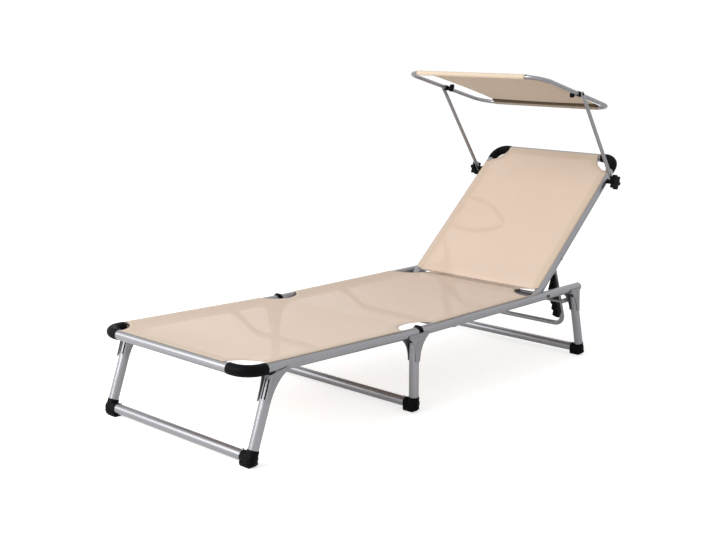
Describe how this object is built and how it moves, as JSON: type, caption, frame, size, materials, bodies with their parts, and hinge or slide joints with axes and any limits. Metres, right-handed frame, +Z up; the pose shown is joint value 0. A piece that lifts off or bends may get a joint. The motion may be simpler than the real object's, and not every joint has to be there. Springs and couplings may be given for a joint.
{
  "type": "sun lounger with canopy",
  "caption": "Folding sun lounger of tube and stretched mesh on three pairs of legs, with a reclining backrest and a tilting sun canopy.",
  "frame": {"origin": "on the ground, at the centre of the bounding box's bottom face", "axes": "+X towards the left-hand side of someone lying on it, +Y from the feet to the head, +Z up"},
  "size_m": [0.6026, 1.8136, 0.9481],
  "materials": {
    "tube": "satin silver",
    "sheet_steel": "zinc plated, satin",
    "steel": "zinc plated",
    "black_plastic": "moulded, slightly textured",
    "sling_mesh": "woven coated mesh, beige",
    "canopy_cloth": "plain woven cloth, beige",
    "webbing": "narrow webbing, beige"
  },
  "bodies": {
    "seat_frame": {"seat_rail_left": "tube", "seat_rail_right": "tube", "fold_hinge_seat_left": "black_plastic", "fold_hinge_seat_right": "black_plastic", "backrest_axle": "steel", "seat_brace": "tube", "rack_rod": "steel", "mid_bracket_left": "sheet_steel", "mid_bracket_right": "sheet_steel", "rear_bracket_left": "sheet_steel", "rear_bracket_right": "sheet_steel", "seat_sling": "sling_mesh"},
    "foot_section": {"foot_rail_left": "tube", "foot_rail_right": "tube", "foot_end_tube": "tube", "foot_corner_left": "black_plastic", "foot_corner_right": "black_plastic", "foot_brace": "tube", "foot_bracket_left": "sheet_steel", "foot_bracket_right": "sheet_steel", "fold_hinge_foot_left": "black_plastic", "fold_hinge_foot_right": "black_plastic", "foot_sling": "sling_mesh"},
    "foot_legs": {"foot_leg_left": "tube", "foot_leg_right": "tube", "foot_crossbar": "tube", "foot_foot_left": "black_plastic", "foot_foot_right": "black_plastic"},
    "mid_legs": {"mid_leg_left": "tube", "mid_leg_right": "tube", "mid_crossbar": "tube", "mid_foot_left": "black_plastic", "mid_foot_right": "black_plastic"},
    "rear_legs": {"rear_leg_left": "tube", "rear_leg_right": "tube", "rear_crossbar": "tube", "rear_foot_left": "black_plastic", "rear_foot_right": "black_plastic"},
    "backrest": {"backrest_rail_left": "tube", "backrest_rail_right": "tube", "backrest_top_tube": "tube", "backrest_corner_left": "black_plastic", "backrest_corner_right": "black_plastic", "backrest_sling": "sling_mesh", "carry_strap": "webbing"},
    "support": {"support_bow": "tube", "rack_left": "black_plastic", "rack_right": "black_plastic"},
    "canopy_arms": {"canopy_arm_left": "tube", "canopy_arm_right": "tube"},
    "canopy": {"canopy_frame_front": "tube", "canopy_frame_rear": "tube", "canopy_cloth": "canopy_cloth", "canopy_clip_left": "black_plastic", "canopy_clip_right": "black_plastic"},
    "star_left": {"star_knob_left": "black_plastic"},
    "star_right": {"star_knob_right": "black_plastic"},
    "wing_left": {"wing_knob_left": "black_plastic"},
    "wing_right": {"wing_knob_right": "black_plastic"}
  },
  "joints": [
    {"name": "foot_section_fold", "type": "hinge", "parent": "seat_frame", "child": "foot_section", "pos_m": [0, -0.24032, 0.2471], "axis": [1, 0, 0], "range_deg": [-165, 0]},
    {"name": "foot_legs_fold", "type": "hinge", "parent": "foot_section", "child": "foot_legs", "pos_m": [0, -0.81333, 0.20687], "axis": [1, 0, 0], "range_deg": [0, 106]},
    {"name": "mid_legs_fold", "type": "hinge", "parent": "seat_frame", "child": "mid_legs", "pos_m": [0, -0.25459, 0.19987], "axis": [1, 0, 0], "range_deg": [0, 86]},
    {"name": "rear_legs_fold", "type": "hinge", "parent": "seat_frame", "child": "rear_legs", "pos_m": [0, 0.60581, 0.21317], "axis": [1, 0, 0], "range_deg": [-106, 0]},
    {"name": "backrest_recline", "type": "hinge", "parent": "seat_frame", "child": "backrest", "pos_m": [0, 0.42184, 0.24233], "axis": [1, 0, 0], "range_deg": [-40.8, 0]},
    {"name": "support_swing", "type": "hinge", "parent": "backrest", "child": "support", "pos_m": [0, 0.5413, 0.34877], "axis": [1, 0, 0], "range_deg": [0, 71]},
    {"name": "canopy_arms_swing", "type": "hinge", "parent": "backrest", "child": "canopy_arms", "pos_m": [0, 0.81158, 0.58958], "axis": [1, 0, 0], "range_deg": [-100, 40]},
    {"name": "canopy_tilt", "type": "hinge", "parent": "canopy_arms", "child": "canopy", "pos_m": [0, 0.57157, 0.88959], "axis": [1, 0, 0], "range_deg": [-35, 95]},
    {"name": "star_knob_left_turn", "type": "hinge", "parent": "backrest", "child": "star_left", "pos_m": [0.29, 0.81158, 0.58958], "axis": [1, 0, 0], "continuous": true},
    {"name": "star_knob_right_turn", "type": "hinge", "parent": "backrest", "child": "star_right", "pos_m": [-0.29, 0.81158, 0.58958], "axis": [1, 0, 0], "continuous": true},
    {"name": "wing_knob_left_turn", "type": "hinge", "parent": "canopy", "child": "wing_left", "pos_m": [0.256, 0.57157, 0.88959], "axis": [1, 0, 0], "continuous": true},
    {"name": "wing_knob_right_turn", "type": "hinge", "parent": "canopy", "child": "wing_right", "pos_m": [-0.256, 0.57157, 0.88959], "axis": [1, 0, 0], "continuous": true}
  ],
  "couplings": [
    {"joint": "support_swing", "follows": "backrest_recline", "ratio": -1.7}
  ]
}
